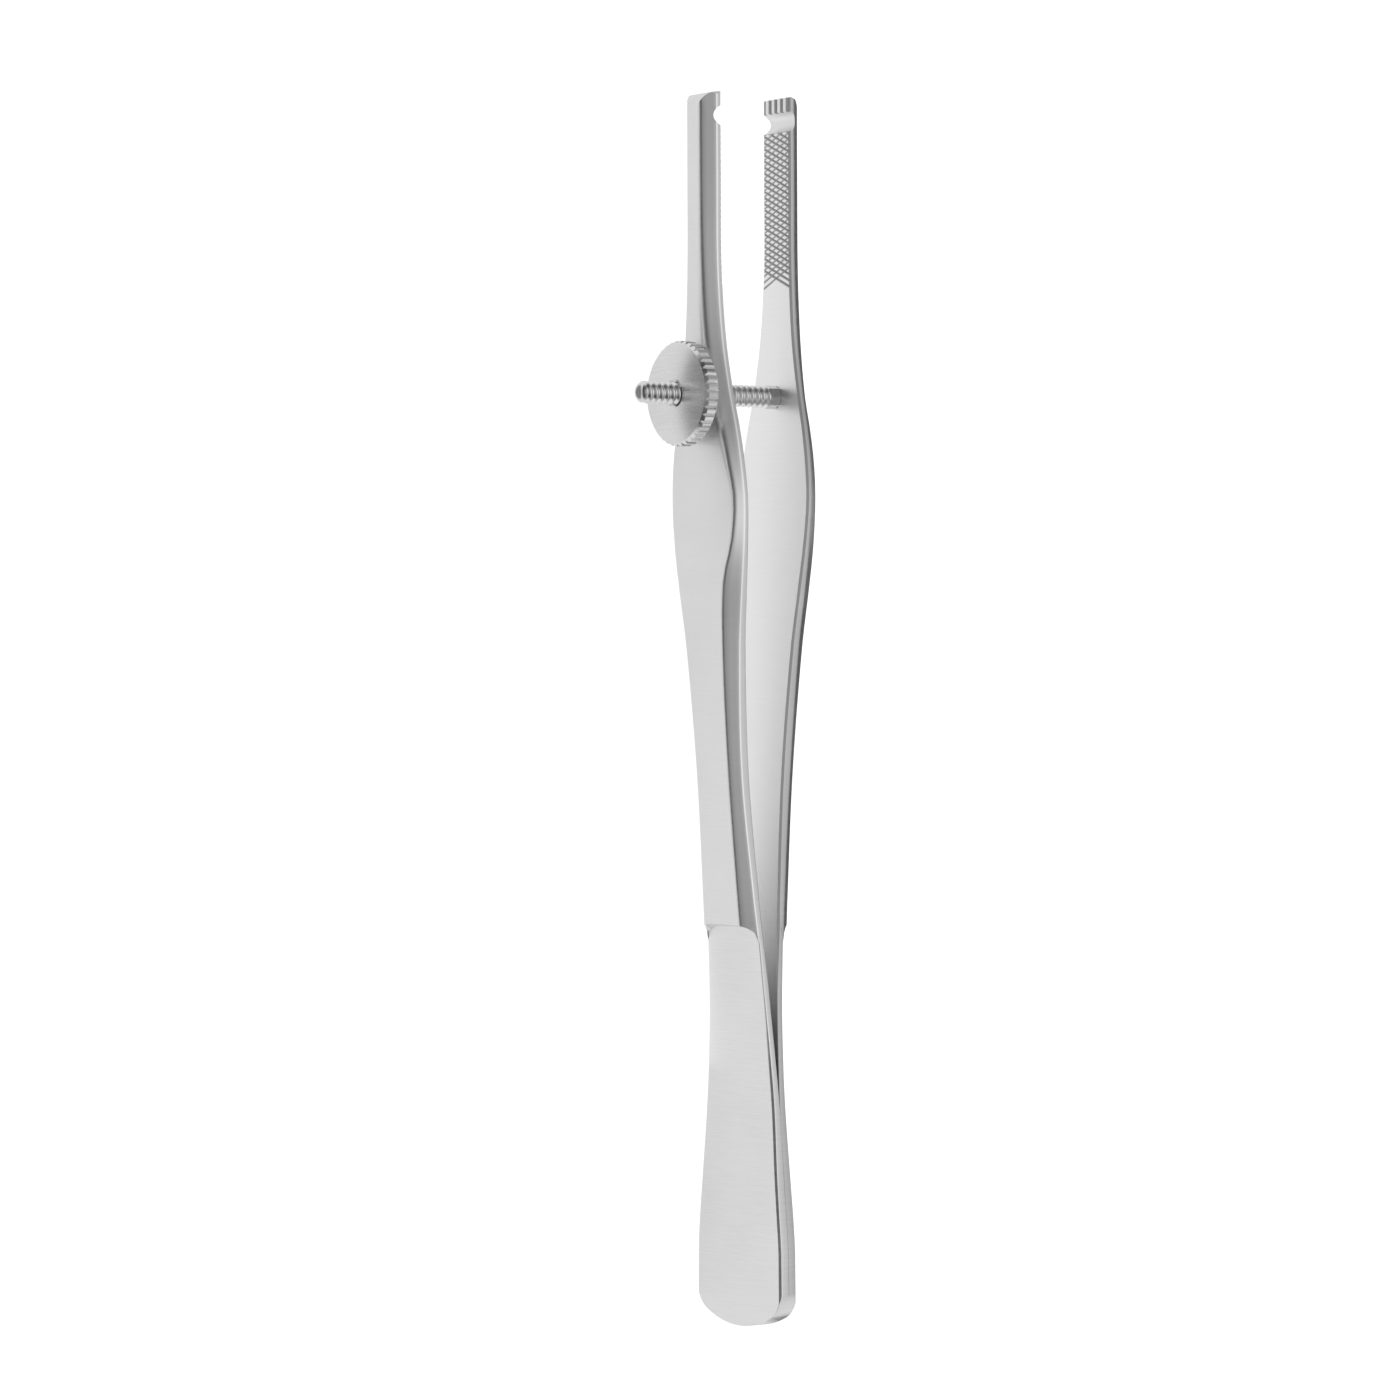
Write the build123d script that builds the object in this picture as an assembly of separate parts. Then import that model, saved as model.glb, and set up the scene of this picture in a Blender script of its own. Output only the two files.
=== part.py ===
from build123d import *
import os
from math import asin, cos, degrees, pi, sin, sqrt, tan

# An ossicle holding clamp: two spring arms welded together at the tail, like a pair of tweezers,
# with a screw through both arms and a knurled wheel nut that draws them together.
# It lies on its side edges. X runs from the tail to the jaws, Y across the two arms with the
# nut's arm at +Y, and Z up across the width. All lengths are in millimetres.

# Driving dimensions: places along the clamp, measured from the tail end
total_length = 120.0
weld_end = 21.5
step_at = 39.2
waist_at = 54.0
belly_at = 80.5
screw_at = 90.7
jaw_at = 103.0

# Widths of the arms, across Z
tail_width = 13.7
leaf_top_width = 8.45
waist_width = 7.0
belly_width = 11.3
jaw_width = 4.35
tail_end_radius = 12.0
tail_corner_radius = 3.0

# Thicknesses of the arms, across Y
tail_thickness = 1.02
leaf_thickness = 0.68
handle_thickness = 2.0
belly_thickness = 1.53
jaw_thickness = 1.92
handle_edge = 0.95
jaw_edge = 0.6

# How far the outer face is narrower than the inner one, on each side
arm_bevel = 1.15
belly_bevel = 0.57

# The opening between the two arms with the spring relaxed
jaw_opening = 8.16
step_corner_radius = 1.6

# Jaw tips
tip_rounding = 0.55
tooth_length = 1.35
groove_radius = 1.0
groove_centre_lift = 0.15
tooth_grooves = 5
tooth_groove_pitch = 0.93
tooth_groove_width = 0.5
tooth_groove_depth = 0.32
jaw_contact_gap = 0.12

# Clamp screw
screw_diameter = 2.2
screw_end_past_nut = 4.3
screw_end_rounding = 0.55
shoulder_diameter = 2.3
shoulder_length = 1.3
thread_pitch = 0.68

# Wheel nut and the washer under it
nut_diameter = 10.2
nut_thickness = 1.6
nut_dome = 0.22
nut_chamfer = 0.3
nut_bore_chamfer = 0.25
knurl_count = 40
knurl_depth = 0.26
knurl_width = 0.46
washer_diameter = 4.8
washer_thickness = 0.65
washer_dome = 0.25

# Clearances
thread_clearance = 0.04
washer_clearance = 0.06
washer_seat_gap = 0.08
nut_seat_gap = 0.02
arm_hole_clearance = 0.4

half_opening = jaw_opening / 2
half_length = total_length / 2
split_at = step_at - step_corner_radius
screw_radius = screw_diameter / 2


def between(low, high, share):
    return low + share * (high - low)


# The arm's section at stations along it. Each row holds the place along the clamp, the inner
# face's distance from the middle plane as a share of the half opening, the inner width, the height
# of the square edge, the bevel on each side and the whole thickness.
arm_stations = [
    (split_at, 0.2, leaf_top_width, leaf_thickness, 1.09 * arm_bevel, handle_thickness),
    (between(split_at, waist_at, 0.27), 0.275, between(waist_width, leaf_top_width, 0.58),
     between(leaf_thickness, handle_edge, 0.3), 0.96 * arm_bevel, handle_thickness),
    (waist_at, 0.485, waist_width, handle_edge, 0.8 * arm_bevel, handle_thickness),
    (between(waist_at, belly_at, 0.45), 0.667, between(waist_width, belly_width, 0.27),
     between(handle_edge, jaw_edge, 0.3), 0.97 * arm_bevel, 1.08 * handle_thickness),
    (between(waist_at, belly_at, 0.7), 0.765, between(waist_width, belly_width, 0.66),
     between(handle_edge, jaw_edge, 0.6), 1.06 * arm_bevel, 1.1 * handle_thickness),
    (between(waist_at, belly_at, 0.85), 0.82, between(waist_width, belly_width, 0.89),
     jaw_edge, 1.15 * belly_bevel, between(belly_thickness, handle_thickness, 0.4)),
    (belly_at, 0.865, belly_width, 0.93 * jaw_edge, belly_bevel, belly_thickness),
    (between(belly_at, screw_at, 0.35), 0.893, between(jaw_width, belly_width, 0.9),
     jaw_edge, between(belly_bevel, arm_bevel, 0.5), between(belly_thickness, jaw_thickness, 0.55)),
    (between(belly_at, screw_at, 0.7), 0.92, between(jaw_width, belly_width, 0.7),
     jaw_edge, arm_bevel, between(belly_thickness, jaw_thickness, 0.85)),
    (screw_at, 0.945, between(jaw_width, belly_width, 0.47), jaw_edge, 1.17 * arm_bevel, jaw_thickness),
    (between(screw_at, jaw_at, 0.45), 0.973, between(jaw_width, belly_width, 0.17),
     jaw_edge, 1.04 * arm_bevel, 1.03 * jaw_thickness),
    (jaw_at, 0.996, between(jaw_width, belly_width, 0.015), jaw_edge, 0.95 * arm_bevel, jaw_thickness),
    (between(jaw_at, total_length, 0.5), 1.0, jaw_width, jaw_edge, arm_bevel, jaw_thickness),
    (total_length, 1.0, jaw_width, jaw_edge, arm_bevel, jaw_thickness),
]


def inner_face_at(place):
    """The inner face's distance from the middle plane, read between the arm's stations."""
    for near, far in zip(arm_stations, arm_stations[1:]):
        if near[0] <= place <= far[0]:
            share = (place - near[0]) / (far[0] - near[0])
            return half_opening * between(near[1], far[1], share)
    return half_opening


def section_corners(place, opening_share, width, edge, bevel, thickness):
    """The six corners of the arm's section: a flat inner face, square edges, bevels and an outer face."""
    inner = opening_share * half_opening
    half_width = width / 2
    return [
        (place, inner, -half_width),
        (place, inner, half_width),
        (place, inner + edge, half_width),
        (place, inner + thickness, half_width - bevel),
        (place, inner + thickness, bevel - half_width),
        (place, inner + edge, -half_width),
    ]


def arm_blank():
    """The arm as a solid between six long curves, one through each corner of its sections."""
    sections = [section_corners(*station) for station in arm_stations]
    curves = [Spline(*corner_line).edge() for corner_line in zip(*sections)]
    long_faces = [
        Face.make_surface_from_curves(curve, following)
        for curve, following in zip(curves, curves[1:] + curves[:1])
    ]
    ends = [make_face(Polyline(*corners, close=True)).face() for corners in (sections[0], sections[-1])]
    return Part() + Solid(Shell(long_faces + ends))


def spring_leaf():
    """The thin leaf from the rounded tail to the arm: its plan outline met by its side profile."""
    half_tail = tail_width / 2
    half_top = leaf_top_width / 2
    corner = tail_end_radius - sqrt(tail_end_radius**2 - half_tail**2)
    side = [
        (corner, half_tail),
        (between(0, weld_end, 0.35), between(half_top, half_tail, 0.975)),
        (between(0, weld_end, 0.7), between(half_top, half_tail, 0.71)),
        (weld_end, between(half_top, half_tail, 0.5)),
        (between(weld_end, split_at, 0.5), between(half_top, half_tail, 0.2)),
        (split_at, half_top),
    ]
    end = ThreePointArc((corner, half_tail), (0, 0), (corner, -half_tail))
    upper = Spline(*side)
    lower = Spline(*[(along, -across) for along, across in side])
    close = Line((split_at, half_top), (split_at, -half_top))
    plan = make_face(Curve() + [end, upper, lower, close])
    corners = plan.vertices().group_by(Axis.X)[0]
    plan = fillet(corners, tail_corner_radius)
    blank = Plane.XZ * extrude(plan, half_opening, both=True)

    top = arm_stations[0][1] * half_opening
    inner = [
        (weld_end, 0),
        (between(weld_end, split_at, 0.35), 0.25 * top),
        (between(weld_end, split_at, 0.65), 0.56 * top),
        (split_at, top),
    ]
    outer = [
        (0, tail_thickness),
        (between(0, weld_end, 0.5), tail_thickness),
        (weld_end, between(leaf_thickness, tail_thickness, 0.45)),
        (inner[1][0], inner[1][1] + between(leaf_thickness, tail_thickness, 0.15)),
        (inner[2][0], inner[2][1] + leaf_thickness),
        (split_at, top + leaf_thickness),
    ]
    profile = make_face(
        Curve()
        + [
            Line((0, 0), inner[0]),
            Spline(*inner),
            Line(inner[-1], outer[-1]),
            Spline(*outer),
            Line(outer[0], (0, 0)),
        ]
    )
    return blank & extrude(profile, tail_width, both=True)


def step_pocket():
    """What is cut away above the leaf, up to the step where the thick arm begins."""
    first, second = arm_stations[0], arm_stations[1]
    floor_start = first[1] * half_opening + first[3]
    floor_next = second[1] * half_opening + second[3]
    slope = (floor_next - floor_start) / (second[0] - first[0])
    before = step_corner_radius
    above = floor_start + 2 * handle_thickness
    outline = Polyline(
        (split_at - before, floor_start - before * slope),
        (step_at, floor_start + (step_at - split_at) * slope),
        (step_at, above),
        (split_at - before, above),
        close=True,
    )
    pocket = extrude(make_face(outline), leaf_top_width / 2, both=True)
    upright = pocket.edges().filter_by(Axis.Y).group_by(Axis.X)[-1]
    return fillet(upright, step_corner_radius)


def jaw_tooling():
    """The half-round groove across the jaw and the lengthwise grooves in the tooth at its tip."""
    groove_at = total_length - tooth_length - groove_radius
    groove = Pos(groove_at, half_opening - groove_centre_lift, 0) * Cylinder(groove_radius, 2 * jaw_width)
    cutters = [groove]
    for index in range(tooth_grooves):
        across = (index - (tooth_grooves - 1) / 2) * tooth_groove_pitch
        outline = Polyline(
            (groove_at, half_opening - tooth_groove_depth, across - tooth_groove_width),
            (groove_at, half_opening - tooth_groove_depth, across + tooth_groove_width),
            (groove_at, half_opening + tooth_groove_depth, across),
            close=True,
        )
        cutters.append(extrude(make_face(outline), 2 * groove_radius + tooth_length, dir=(1, 0, 0)))
    return cutters


def thick_arm():
    """The thick, bevelled arm from the step to the jaw's tip."""
    arm = arm_blank()
    tip = arm.faces().sort_by(Axis.X)[-1]
    outer_edge = tip.edges().sort_by(Axis.Y)[-1]
    arm = fillet(outer_edge, tip_rounding)
    return arm - step_pocket() - jaw_tooling()


# The screw's own line, along Y
nut_arm_outer = arm_stations[9][1] * half_opening + jaw_thickness
washer_low = nut_arm_outer + washer_seat_gap
nut_low = washer_low + washer_thickness + nut_seat_gap
screw_high = nut_low + nut_thickness + nut_dome + screw_end_past_nut
on_screw = Pos(screw_at, 0, 0) * Rot(-90, 0, 0)

leaf = spring_leaf()
arm = thick_arm()

# The nut's arm has an oversize hole, so that it can tilt on the screw as it closes
arm_hole = on_screw * Cylinder(screw_radius + arm_hole_clearance, 4 * half_opening)
front_leaf = leaf
front_arm = arm - arm_hole

# The other arm is the same forging in one piece with its leaf, mirrored, with the screw fixed in it
screw_hole = on_screw * Cylinder(screw_radius, 4 * half_opening)
back_arm = mirror(leaf + arm, about=Plane.XZ) - screw_hole


def clamp_screw():
    """A turned screw with a plain shoulder against the inside of the fixed arm."""
    back_face = inner_face_at(screw_at)
    foot = -nut_arm_outer + 0.5 * washer_seat_gap
    profile = Polyline(
        (0, foot),
        (screw_radius, foot),
        (screw_radius, -back_face),
        (shoulder_diameter / 2, -back_face),
        (shoulder_diameter / 2, shoulder_length - back_face),
        (screw_radius, shoulder_length - back_face),
        (screw_radius, screw_high),
        (0, screw_high),
        close=True,
    )
    body = Pos(screw_at, 0, 0) * revolve(make_face(profile), Axis.Y)
    free_end = body.edges().group_by(Axis.Y)[-1]
    return fillet(free_end, screw_end_rounding)


def seat_washer():
    """A small washer with a domed underside, which rocks in the mouth of the arm's hole."""
    bore = screw_radius + washer_clearance
    rim = washer_diameter / 2
    half_way = (bore + rim) / 2
    profile = make_face(
        Curve()
        + [
            ThreePointArc((bore, washer_low), (half_way, washer_low + 0.36 * washer_dome),
                          (rim, washer_low + washer_dome)),
            Line((rim, washer_low + washer_dome), (rim, washer_low + washer_thickness)),
            Line((rim, washer_low + washer_thickness), (bore, washer_low + washer_thickness)),
            Line((bore, washer_low + washer_thickness), (bore, washer_low)),
        ]
    )
    return Pos(screw_at, 0, 0) * revolve(profile, Axis.Y)


def wheel_nut():
    """A thin wheel with a knurled rim, a slightly domed turned face and a threaded bore."""
    bore = screw_radius + thread_clearance
    rim = nut_diameter / 2
    face = nut_low + nut_thickness
    chamfer_in = rim - nut_chamfer
    mouth = bore + nut_bore_chamfer
    dome_radius = (chamfer_in**2 + nut_dome**2) / (2 * nut_dome)
    mouth_height = face + nut_dome - (dome_radius - sqrt(dome_radius**2 - mouth**2))
    middle = (chamfer_in + mouth) / 2
    middle_height = face + nut_dome - (dome_radius - sqrt(dome_radius**2 - middle**2))
    profile = make_face(
        Curve()
        + [
            Line((bore, nut_low), (chamfer_in, nut_low)),
            Line((chamfer_in, nut_low), (rim, nut_low + nut_chamfer)),
            Line((rim, nut_low + nut_chamfer), (rim, face - nut_chamfer)),
            Line((rim, face - nut_chamfer), (chamfer_in, face)),
            ThreePointArc((chamfer_in, face), (middle, middle_height), (mouth, mouth_height)),
            Line((mouth, mouth_height), (bore, mouth_height - nut_bore_chamfer)),
            Line((bore, mouth_height - nut_bore_chamfer), (bore, nut_low)),
        ]
    )
    blank = revolve(profile, Axis.Y)
    notch = make_face(
        Polyline((rim - knurl_depth, 0), (rim + knurl_depth, knurl_width),
                 (rim + knurl_depth, -knurl_width), close=True)
    )
    notches = [
        Plane.XZ * (Rot(0, 0, index * 360 / knurl_count) * extrude(notch, 2 * screw_high, both=True))
        for index in range(knurl_count)
    ]
    return Pos(screw_at, 0, 0) * (blank - notches)


pieces = {
    "back_arm": back_arm,
    "front_leaf": front_leaf,
    "front_arm": front_arm,
    "clamp_screw": clamp_screw(),
    "seat_washer": seat_washer(),
    "wheel_nut": wheel_nut(),
}

# The row's origin is under the middle of the whole clamp, on the surface that it lies on
across_low = -half_opening - 1.0 * jaw_thickness
across_middle = (across_low + screw_high) / 2
to_origin = Pos(-half_length, -across_middle, tail_width / 2)

# The motion, for the record: the leaf bends about its middle as the nut draws the arm in
pivot_along = (weld_end + split_at) / 2
pivot_across = 0.4 * arm_stations[0][1] * half_opening + leaf_thickness / 2
closing = asin((2 * half_opening - jaw_contact_gap) / (total_length - pivot_along))
nut_travel = (screw_at - pivot_along) * sin(closing)
turn_per_mm = 2 * pi / thread_pitch

os.makedirs("parts", exist_ok=True)
for name, piece in pieces.items():
    placed = to_origin * piece
    placed.label = name
    export_step(placed, f"parts/{name}.step")
    box = placed.bounding_box()
    print(name, round(placed.volume, 3), [round(v, 3) for v in (*box.min, *box.max)])

print("pivot", round(pivot_along - half_length, 4), round(pivot_across - across_middle, 4), tail_width / 2)
print("screw line", round(screw_at - half_length, 4), -round(across_middle, 4), tail_width / 2)
print("closing", round(degrees(closing), 4), "degrees, nut travel", round(nut_travel, 4))
print("nut turn", round(degrees(nut_travel * turn_per_mm), 2), "degrees")
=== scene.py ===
# %% [markdown]
# # An ossicle holding clamp in satin stainless steel
# The clamp is a pair of spring arms, welded together at the tail like tweezers. A screw through
# both arms carries a knurled wheel nut that draws them together. This lesson dresses the packed
# CAD model. It loads the model as a fixed frame, and then every new piece goes where the CAD says.

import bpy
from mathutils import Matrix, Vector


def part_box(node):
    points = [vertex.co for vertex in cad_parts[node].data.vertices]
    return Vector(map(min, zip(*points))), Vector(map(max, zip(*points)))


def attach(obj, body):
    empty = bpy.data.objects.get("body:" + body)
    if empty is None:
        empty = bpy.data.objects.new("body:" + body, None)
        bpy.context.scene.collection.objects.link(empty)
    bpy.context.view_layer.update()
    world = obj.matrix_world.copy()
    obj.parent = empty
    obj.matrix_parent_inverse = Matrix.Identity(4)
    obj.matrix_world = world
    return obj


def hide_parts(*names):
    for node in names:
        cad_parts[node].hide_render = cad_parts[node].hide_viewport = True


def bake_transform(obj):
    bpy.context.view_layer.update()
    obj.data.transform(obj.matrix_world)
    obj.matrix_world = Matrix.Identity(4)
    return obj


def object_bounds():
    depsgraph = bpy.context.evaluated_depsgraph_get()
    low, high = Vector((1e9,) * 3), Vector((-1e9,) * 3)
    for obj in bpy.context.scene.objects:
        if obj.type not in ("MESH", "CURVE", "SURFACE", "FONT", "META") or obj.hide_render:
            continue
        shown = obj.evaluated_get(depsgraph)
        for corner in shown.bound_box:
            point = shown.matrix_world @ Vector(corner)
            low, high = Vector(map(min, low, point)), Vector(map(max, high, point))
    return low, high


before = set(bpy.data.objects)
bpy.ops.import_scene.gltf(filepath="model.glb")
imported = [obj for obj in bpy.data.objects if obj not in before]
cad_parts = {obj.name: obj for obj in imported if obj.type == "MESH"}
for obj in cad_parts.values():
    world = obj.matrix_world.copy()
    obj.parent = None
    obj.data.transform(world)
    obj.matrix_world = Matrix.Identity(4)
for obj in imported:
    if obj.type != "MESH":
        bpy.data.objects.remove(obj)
cad_box = [list(corner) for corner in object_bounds()]
print("CAD box in metres:", cad_box)

# %% [markdown]
# ## Places on the clamp
# The clamp is easiest to measure in its own way, in millimetres: how far along from the tail, how
# far out from the middle plane between the arms, and how far across from the middle of the width.
# One small function turns such a place into the frame of the CAD. The tail, the middle plane and
# the middle of the width are read from the boxes of the CAD nodes.

# %% Measure from the tail and the middle plane
import math

import bmesh
import bpy
from mathutils import Matrix, Vector

MM = 0.001
tail_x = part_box("back_arm")[0][0]
middle_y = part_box("front_leaf")[0][1]
nut_low, nut_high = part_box("wheel_nut")
screw_x = (nut_low[0] + nut_high[0]) / 2
width_z = (nut_low[2] + nut_high[2]) / 2


def place(along, out, across):
    """A point in metres, from millimetres along, out from the middle plane and across."""
    return Vector((tail_x + along * MM, middle_y + out * MM, width_z + across * MM))


screw_along = (screw_x - tail_x) / MM
print("screw at", round(screw_along, 2), "mm, nut from",
      round((nut_low[1] - middle_y) / MM, 3), "to", round((nut_high[1] - middle_y) / MM, 3), "mm")

# %% [markdown]
# ## Working by operator
# Each piece is modelled as by hand: an object is made active, edit mode is entered, vertices or
# edges are picked by their place, and an operator shapes them.

# %% Helpers for picking and shaping
MERGE = 0.001 * MM


def take(piece):
    """Makes one object the only one that is selected and active."""
    bpy.ops.object.select_all(action="DESELECT")
    piece.select_set(True)
    bpy.context.view_layer.objects.active = piece


def new_piece(name):
    """Names the object that a primitive has just made."""
    piece = bpy.context.object
    piece.name = piece.data.name = name
    return piece


def pick(kind, test):
    """In edit mode, selects just the vertices, edges or faces that pass the test."""
    mesh = bmesh.from_edit_mesh(bpy.context.object.data)
    for group in (mesh.verts, mesh.edges, mesh.faces):
        for item in group:
            item.select = False
    chosen = [item for item in getattr(mesh, kind) if test(item)]
    for item in chosen:
        item.select_set(True)
    bmesh.update_edit_mesh(bpy.context.object.data)
    return len(chosen)


def settle(piece):
    """Puts a finished object's place into its mesh and turns its faces outwards."""
    take(piece)
    bpy.ops.object.transform_apply(location=True, rotation=True, scale=True)
    bpy.ops.object.mode_set(mode="EDIT")
    bpy.ops.mesh.select_all(action="SELECT")
    bpy.ops.mesh.remove_doubles(threshold=MERGE)
    bpy.ops.mesh.normals_make_consistent(inside=False)
    bpy.ops.object.mode_set(mode="OBJECT")


def cut(piece, cutter, operation="DIFFERENCE"):
    """Cuts one object with another by a Boolean modifier, and removes the cutter."""
    take(piece)
    boolean = piece.modifiers.new("cut", "BOOLEAN")
    boolean.operation = operation
    boolean.solver = "EXACT"
    boolean.object = cutter
    bpy.ops.object.modifier_apply(modifier=boolean.name)
    bpy.data.objects.remove(cutter)


print("vertices closer than", round(MERGE / MM, 4), "mm are merged")

# %% [markdown]
# ## The sections of an arm
# Each arm is one forging: a thin flat leaf that bends, then a thick handle with bevelled sides, a
# wide belly where the fingers press, and a slim jaw. A shape that changes so gently is best given
# by sections, as a boat's hull is. A row of a table holds, in millimetres, the distance along, the
# inner face's distance from the middle plane, the width of the inner face, the height of the
# square edge, the bevel on each side and the whole thickness. The thick handle begins at a small
# step, 39.2 mm from the tail, and the two CAD solids of the near arm meet just before it.

# %% Table of sections
LEAF = (
    (-0.5, 0.0, 13.76, 1.02, 1.25, 1.02), (7.5, 0.0, 13.57, 1.02, 1.25, 1.02),
    (10.75, 0.0, 13.05, 1.02, 1.25, 1.02), (15.05, 0.0, 12.18, 0.96, 1.25, 0.96),
    (21.5, 0.0, 11.07, 0.833, 1.25, 0.833), (27.1, 0.204, 10.0, 0.731, 1.25, 0.731),
    (32.0, 0.457, 9.12, 0.68, 1.25, 0.68), (37.6, 0.816, 8.45, 0.68, 1.25, 0.68),
    (42.0, 1.12, 7.84, 0.68, 1.25, 0.68),
)
ARM = (
    (34.0, 0.57, 8.9, 0.68, 1.25, 2.0), (37.6, 0.816, 8.45, 0.68, 1.25, 2.0),
    (42.03, 1.122, 7.84, 0.76, 1.10, 2.0), (54.0, 1.979, 7.0, 0.95, 0.92, 2.0),
    (65.93, 2.721, 8.16, 0.845, 1.12, 2.16), (72.55, 3.121, 9.84, 0.74, 1.22, 2.20),
    (76.53, 3.346, 10.83, 0.60, 0.66, 1.72), (80.5, 3.529, 11.3, 0.56, 0.57, 1.53),
    (84.07, 3.643, 10.61, 0.60, 0.86, 1.74), (87.64, 3.754, 9.22, 0.60, 1.15, 1.86),
    (90.7, 3.856, 7.62, 0.60, 1.35, 1.92), (96.24, 3.970, 5.53, 0.60, 1.20, 1.98),
    (103.0, 4.064, 4.45, 0.60, 1.09, 1.92), (111.5, 4.08, 4.35, 0.60, 1.15, 1.92),
    (120.0, 4.08, 4.35, 0.60, 1.15, 1.92),
)
LENGTH = 120
SEAM, STEP = 37.6, 39.2


def section(table, along):
    """The section at any distance along, by a smooth curve through the rows of a table."""
    last = len(table) - 2
    i = max(k for k in range(last + 1) if k == 0 or table[k][0] <= along)
    before, near = table[max(i - 1, 0)], table[i]
    far, after = table[i + 1], table[min(i + 2, last + 1)]
    span = far[0] - near[0]
    t = (along - near[0]) / span
    values = []
    for k in range(1, 6):
        slope_near = (far[k] - before[k]) / (far[0] - before[0]) * span
        slope_far = (after[k] - near[k]) / (after[0] - near[0]) * span
        values.append(
            near[k] * (2 * t**3 - 3 * t**2 + 1) + slope_near * (t**3 - 2 * t**2 + t)
            + far[k] * (3 * t**2 - 2 * t**3) + slope_far * (t**3 - t**2)
        )
    return values


for along in (10.0, 30.0, 50.0, 80.0, 110.0):
    print("section at", along, [round(v, 3) for v in section(LEAF if along < STEP else ARM, along)])

# %% [markdown]
# ## One ring of the arm
# A ring is a section as fourteen points. It starts at the middle of the outer face, goes down one
# side over the bevel and the square edge, along the inner face between its two narrow rims, and up
# the other side. At the step the milling cutter left a rounded corner of 1.6 mm, so there the
# rings are bent back towards the tail at their sides. The leaf's outer rim and the arm's inner
# rim are broken by narrow chamfers, which mirror the dim part of the room as a thin dark line. The
# rings stand closest together round the step.

# %% Rings of points
BEVEL_STEPS = (0.0, 0.22, 0.55, 1.0)
STEP_RADIUS, STEP_REACH, WALL_LEAN = 1.6, 5.2, 0.2
LEAF_RIM, LEAF_RIM_FADES, LEAF_RIM_LEAST = 0.2, (37, 24), 0.25
SEAM_RIM, ARM_RIM, ARM_RIM_GROWS = 0.04, 0.2, (33, 39)


def share_of(value, low, high):
    """How far a value has come on its way from low to high, from 0 to 1."""
    return min(max((value - low) / (high - low), 0), 1)


def joined_section(table, along):
    """A section whose inner face and width are the arm's own near the step, so no kink is left."""
    values = section(table, along)
    if along > SEAM:
        values[:2] = section(ARM, along)[:2]
    return values


def pulled_back(share, bevel, along):
    """How far a point on the bevel lies behind its ring, near the rounded corner of the step."""
    inset = min(share * bevel, STEP_RADIUS)
    corner = STEP_RADIUS - math.sqrt(STEP_RADIUS**2 - (STEP_RADIUS - inset) ** 2)
    return corner * max(0.0, 1 - abs(along - STEP) / STEP_REACH)


def ring(table, along):
    """The fourteen points of a ring, round the section from the middle of the outer face."""
    bevel_here = section(table, along)[3]
    side = []
    for share in reversed(BEVEL_STEPS):
        at = along - pulled_back(share, bevel_here, along)
        inner, width, edge, bevel, thick = joined_section(table, at)
        rise = share * (thick - edge)
        if table is LEAF and share == 0:
            rise = -LEAF_RIM * max(share_of(at, *LEAF_RIM_FADES), LEAF_RIM_LEAST)
        side.append((at, inner + edge + rise, width / 2 - share * bevel))
    inner, width, edge, bevel, thick = joined_section(table, along)
    right = [place(*point) for point in side]
    left = [place(at, out, -across) for at, out, across in reversed(side)]
    rim = SEAM_RIM + (ARM_RIM - SEAM_RIM) * share_of(along, *ARM_RIM_GROWS)
    inside = [place(along, inner + rim, width / 2), place(along, inner, width / 2 - rim),
              place(along, inner, 0), place(along, inner, rim - width / 2),
              place(along, inner + rim, -width / 2)]
    return [place(along, inner + thick, 0)] + right + inside + left


leaf_rows = [-0.5, 7.5] + [9 + 1.5 * k for k in range(16)]
leaf_rows += [33.0, 34.5, 36.0, 37.2, 38.2, 38.7, STEP - WALL_LEAN]
arm_rows = [STEP, 39.6, 40.2, 41.0, 42.0, 43.2] + [44.4 + 1.4 * k for k in range(52)]
arm_rows += [117.0, 118.6, LENGTH]
rings = [ring(LEAF, along) for along in leaf_rows] + [ring(ARM, along) for along in arm_rows]
print(len(rings), "rings of", len(rings[0]), "points")

# %% [markdown]
# ## Drawing the bar
# The bar grows from its tail: a flat fourteen-sided face is extruded from ring to ring, and after
# each extrusion its corners are moved to their measured places. This keeps clean, long quads along
# the arm, which a polished metal needs, because every dent in its faces would show as a bent
# highlight.

# %% Extrude the bar from ring to ring
TOUCH = 0.0001 * MM
CORNERS, INNER_MIDDLE = len(rings[0]), 7
ALMOST_A_TURN = 6.2


def move_corners(found, targets):
    """Moves each corner of the new ring from where the extrusion left it to its measured place."""
    for start, goal in zip(found, targets):
        pick("verts", lambda v: (v.co - start).length < TOUCH)
        bpy.ops.transform.translate(value=goal - start)


def lies_on(face, corners):
    """True for a face whose every vertex is at one of the corners."""
    return all(min((v.co - corner).length for corner in corners) < TOUCH for v in face.verts)


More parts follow.
